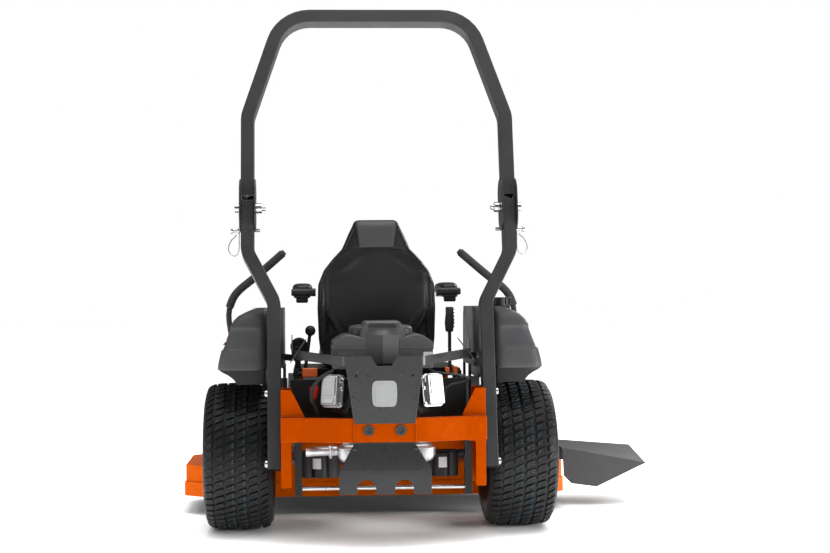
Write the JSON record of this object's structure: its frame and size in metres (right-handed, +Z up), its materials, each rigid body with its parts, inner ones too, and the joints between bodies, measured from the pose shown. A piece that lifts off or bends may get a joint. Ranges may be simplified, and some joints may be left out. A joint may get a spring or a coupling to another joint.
{
  "type": "zero turn mower",
  "caption": "Ride-on zero turn mower with folding roll bar, rear engine, side discharge deck, lap bars, caster front wheels and high-back seat.",
  "frame": {"origin": "on the ground, midway between the rear wheels, under the rear axle", "axes": "+Z up, +Y forward, +X to the machine's right, the side the chute is on"},
  "size_m": [1.9906, 1.982, 2.0376],
  "materials": {
    "orange_paint": "gloss powder coat",
    "grey_paint": "satin powder coat",
    "grey_plastic": "fine grain",
    "black_plastic": "satin",
    "black_rubber": "matte",
    "tyre": "matte",
    "rim_paint": "satin black",
    "vinyl": "grained vinyl",
    "seat_frame": "satin black",
    "grip_foam": "foam",
    "cast_alloy": "as cast",
    "bright_steel": "zinc plated",
    "orange_plastic": "moulded",
    "yellow_plastic": "moulded"
  },
  "bodies": {
    "frame": {"frame_rails": "orange_paint", "front_beam": "orange_paint", "rear_bumper": "orange_paint", "bumper_plugs": "black_rubber", "roll_bar_posts": "grey_paint", "post_bolts": "bright_steel", "upper_guard": "grey_paint", "lower_guard": "grey_paint", "muffler": "bright_steel", "engine_block": "cast_alloy", "valve_covers": "cast_alloy", "engine_cover": "grey_plastic", "hydro_drives": "cast_alloy", "rear_straps": "grey_paint", "foot_platform": "grey_paint", "fender_left": "grey_plastic", "fender_right": "grey_plastic", "fender_liners": "black_plastic", "control_consoles": "grey_plastic", "battery": "black_plastic", "wiring_and_hoses": "black_rubber"},
    "hoop": {"roll_bar_hoop": "grey_paint", "pin_lanyards": "bright_steel"},
    "pin_left": {"lock_pin_left": "bright_steel"},
    "pin_right": {"lock_pin_right": "bright_steel"},
    "wheel_left": {"rear_tyre_left": "tyre", "rear_rim_left": "rim_paint"},
    "wheel_right": {"rear_tyre_right": "tyre", "rear_rim_right": "rim_paint"},
    "fork_left": {"caster_fork_left": "grey_paint"},
    "fork_right": {"caster_fork_right": "grey_paint"},
    "caster_left": {"caster_wheel_left": "tyre"},
    "caster_right": {"caster_wheel_right": "tyre"},
    "deck": {"deck_shell": "orange_paint", "spindle_housings": "cast_alloy", "belt_covers": "grey_paint", "deck_belt": "black_rubber"},
    "chute": {"discharge_chute": "grey_plastic"},
    "cutter_left": {"blade_left": "bright_steel"},
    "cutter_middle": {"blade_middle": "bright_steel"},
    "cutter_right": {"blade_right": "bright_steel"},
    "scalp_left": {"anti_scalp_left": "black_rubber"},
    "scalp_right": {"anti_scalp_right": "black_rubber"},
    "seat": {"seat_base": "seat_frame", "seat_cushion": "vinyl", "seat_back": "vinyl"},
    "arm_left": {"armrest_left": "vinyl"},
    "arm_right": {"armrest_right": "vinyl"},
    "drive_left": {"lever_pivot_left": "grey_paint"},
    "drive_right": {"lever_pivot_right": "grey_paint"},
    "lap_bar_left": {"lever_left": "grip_foam"},
    "lap_bar_right": {"lever_right": "grip_foam"},
    "brake": {"brake_lever": "black_plastic"},
    "height": {"height_lever": "black_plastic"},
    "crank": {"crank_pulley": "bright_steel"},
    "cap": {"fuel_cap": "black_plastic"},
    "throttle": {"throttle_lever": "orange_plastic"},
    "key": {"ignition_key": "bright_steel"},
    "switch": {"blade_switch": "yellow_plastic"},
    "pedal": {"lift_pedal": "grey_paint"}
  },
  "joints": [
    {"name": "roll_bar_fold", "type": "hinge", "parent": "frame", "child": "hoop", "pos_m": [0, -0.14212, 1.247], "axis": [1, 0, 0], "range_deg": [0, 100]},
    {"name": "lock_pin_left_pull", "type": "slide", "parent": "hoop", "child": "pin_left", "axis": [-1, 0, 0], "range_m": [0, 0.08]},
    {"name": "lock_pin_right_pull", "type": "slide", "parent": "hoop", "child": "pin_right", "axis": [1, 0, 0], "range_m": [0, 0.08]},
    {"name": "rear_wheel_left_spin", "type": "hinge", "parent": "frame", "child": "wheel_left", "pos_m": [-0.5435, 0, 0.286], "axis": [1, 0, 0], "continuous": true},
    {"name": "caster_left_swivel", "type": "hinge", "parent": "frame", "child": "fork_left", "pos_m": [-0.56, 1.35, 0.4], "axis": [0, 0, 1], "continuous": true},
    {"name": "caster_left_spin", "type": "hinge", "parent": "fork_left", "child": "caster_left", "pos_m": [-0.56, 1.29, 0.165], "axis": [1, 0, 0], "continuous": true},
    {"name": "rear_wheel_right_spin", "type": "hinge", "parent": "frame", "child": "wheel_right", "pos_m": [0.5435, 0, 0.286], "axis": [1, 0, 0], "continuous": true},
    {"name": "caster_right_swivel", "type": "hinge", "parent": "frame", "child": "fork_right", "pos_m": [0.56, 1.35, 0.4], "axis": [0, 0, 1], "continuous": true},
    {"name": "caster_right_spin", "type": "hinge", "parent": "fork_right", "child": "caster_right", "pos_m": [0.56, 1.29, 0.165], "axis": [1, 0, 0], "continuous": true},
    {"name": "deck_lift", "type": "slide", "parent": "frame", "child": "deck", "axis": [0, 0, 1], "range_m": [0, 0.05]},
    {"name": "chute_raise", "type": "hinge", "parent": "deck", "child": "chute", "pos_m": [0.8, 0.65, 0.247], "axis": [0, -1, 0], "range_deg": [0, 80]},
    {"name": "blade_left_spin", "type": "hinge", "parent": "deck", "child": "cutter_left", "pos_m": [-0.508, 0.62, 0.205], "axis": [0, 0, 1], "continuous": true},
    {"name": "blade_middle_spin", "type": "hinge", "parent": "deck", "child": "cutter_middle", "pos_m": [0, 0.735, 0.205], "axis": [0, 0, 1], "continuous": true},
    {"name": "blade_right_spin", "type": "hinge", "parent": "deck", "child": "cutter_right", "pos_m": [0.508, 0.62, 0.205], "axis": [0, 0, 1], "continuous": true},
    {"name": "anti_scalp_left_spin", "type": "hinge", "parent": "deck", "child": "scalp_left", "pos_m": [-0.275, 1.071, 0.09], "axis": [1, 0, 0], "continuous": true},
    {"name": "anti_scalp_right_spin", "type": "hinge", "parent": "deck", "child": "scalp_right", "pos_m": [0.275, 1.071, 0.09], "axis": [1, 0, 0], "continuous": true},
    {"name": "seat_tilt", "type": "hinge", "parent": "frame", "child": "seat", "pos_m": [0, 0.62, 0.566], "axis": [-1, 0, 0], "range_deg": [0, 50]},
    {"name": "armrest_left_raise", "type": "hinge", "parent": "seat", "child": "arm_left", "pos_m": [-0.3, 0.11, 0.925], "axis": [1, 0, 0], "range_deg": [0, 85]},
    {"name": "lap_bar_left_drive", "type": "hinge", "parent": "frame", "child": "drive_left", "pos_m": [-0.6, 0.5, 0.68], "axis": [1, 0, 0], "range_deg": [-20, 15]},
    {"name": "lap_bar_left_swing", "type": "hinge", "parent": "drive_left", "child": "lap_bar_left", "pos_m": [-0.6, 0.5, 0.7], "axis": [0, -1, 0], "range_deg": [-28, 0]},
    {"name": "armrest_right_raise", "type": "hinge", "parent": "seat", "child": "arm_right", "pos_m": [0.3, 0.11, 0.925], "axis": [1, 0, 0], "range_deg": [0, 85]},
    {"name": "lap_bar_right_drive", "type": "hinge", "parent": "frame", "child": "drive_right", "pos_m": [0.6, 0.5, 0.68], "axis": [1, 0, 0], "range_deg": [-20, 15]},
    {"name": "lap_bar_right_swing", "type": "hinge", "parent": "drive_right", "child": "lap_bar_right", "pos_m": [0.6, 0.5, 0.7], "axis": [0, 1, 0], "range_deg": [-28, 0]},
    {"name": "brake_lever_pull", "type": "hinge", "parent": "frame", "child": "brake", "pos_m": [0.29, 0.06, 0.6], "axis": [-1, 0, 0], "range_deg": [0, 35]},
    {"name": "height_lever_pull", "type": "hinge", "parent": "frame", "child": "height", "pos_m": [-0.29, 0.06, 0.6], "axis": [-1, 0, 0], "range_deg": [0, 30]},
    {"name": "crank_spin", "type": "hinge", "parent": "frame", "child": "crank", "pos_m": [0, -0.25, 0.4], "axis": [0, 0, 1], "continuous": true},
    {"name": "fuel_cap_turn", "type": "hinge", "parent": "frame", "child": "cap", "pos_m": [0.49, 0.06, 0.87], "axis": [0, 0, 1], "range_deg": [0, 120]},
    {"name": "throttle_push", "type": "hinge", "parent": "frame", "child": "throttle", "pos_m": [0.53, 0.6, 0.745], "axis": [1, 0, 0], "range_deg": [-30, 30]},
    {"name": "ignition_turn", "type": "hinge", "parent": "frame", "child": "key", "pos_m": [0.48, 0.59, 0.74], "axis": [0, 0, -1], "range_deg": [0, 60]},
    {"name": "blade_switch_pull", "type": "slide", "parent": "frame", "child": "switch", "axis": [0, 0, 1], "range_m": [0, 0.008]},
    {"name": "lift_pedal_push", "type": "hinge", "parent": "frame", "child": "pedal", "pos_m": [0.332, 1.1, 0.465], "axis": [-1, 0, 0], "range_deg": [0, 26]}
  ],
  "couplings": [
    {"joint": "blade_left_spin", "follows": "blade_middle_spin", "ratio": 1},
    {"joint": "blade_right_spin", "follows": "blade_middle_spin", "ratio": 1},
    {"joint": "lift_pedal_push", "follows": "deck_lift", "rad_per_m": 8.7266}
  ]
}
